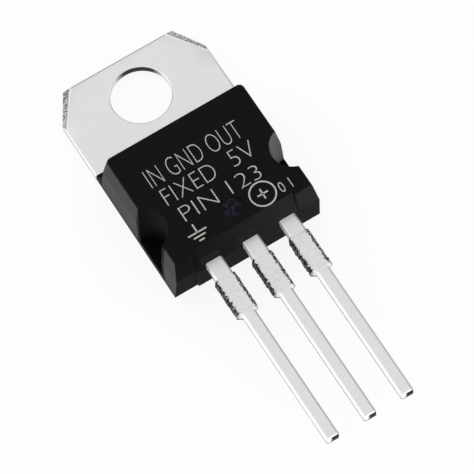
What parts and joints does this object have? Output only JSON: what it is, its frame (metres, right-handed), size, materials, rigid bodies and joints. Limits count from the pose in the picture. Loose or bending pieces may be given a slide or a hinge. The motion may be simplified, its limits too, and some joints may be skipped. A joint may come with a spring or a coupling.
{
  "type": "voltage regulator",
  "caption": "Linear voltage regulator in a TO-220 outline: black moulded body, flat tinned mounting tab with a screw hole, straight leads.",
  "frame": {"origin": "centre of the tab's mounting hole, on the flat back of the tab", "axes": "+Z out of the front of the moulding, +Y from the leads to the tab's top edge, input lead at -X"},
  "size_m": [0.0102, 0.0289, 0.0044],
  "materials": {
    "tinned_copper": "matte tin plate over copper, finely grained",
    "black_epoxy": "fine matte moulded epoxy with pale laser marks",
    "silicon": "polished silicon with a printed circuit face",
    "solder": "dull soft solder",
    "bond_aluminium": "drawn bare aluminium wire"
  },
  "bodies": {
    "root": {"tab_and_ground_lead": "tinned_copper", "input_lead": "tinned_copper", "output_lead": "tinned_copper", "moulded_body": "black_epoxy", "silicon_die": "silicon", "die_attach_solder": "solder", "bond_wire_input": "bond_aluminium", "bond_wire_output": "bond_aluminium", "bond_wire_sense": "bond_aluminium", "bond_wire_ground": "bond_aluminium"}
  },
  "joints": []
}
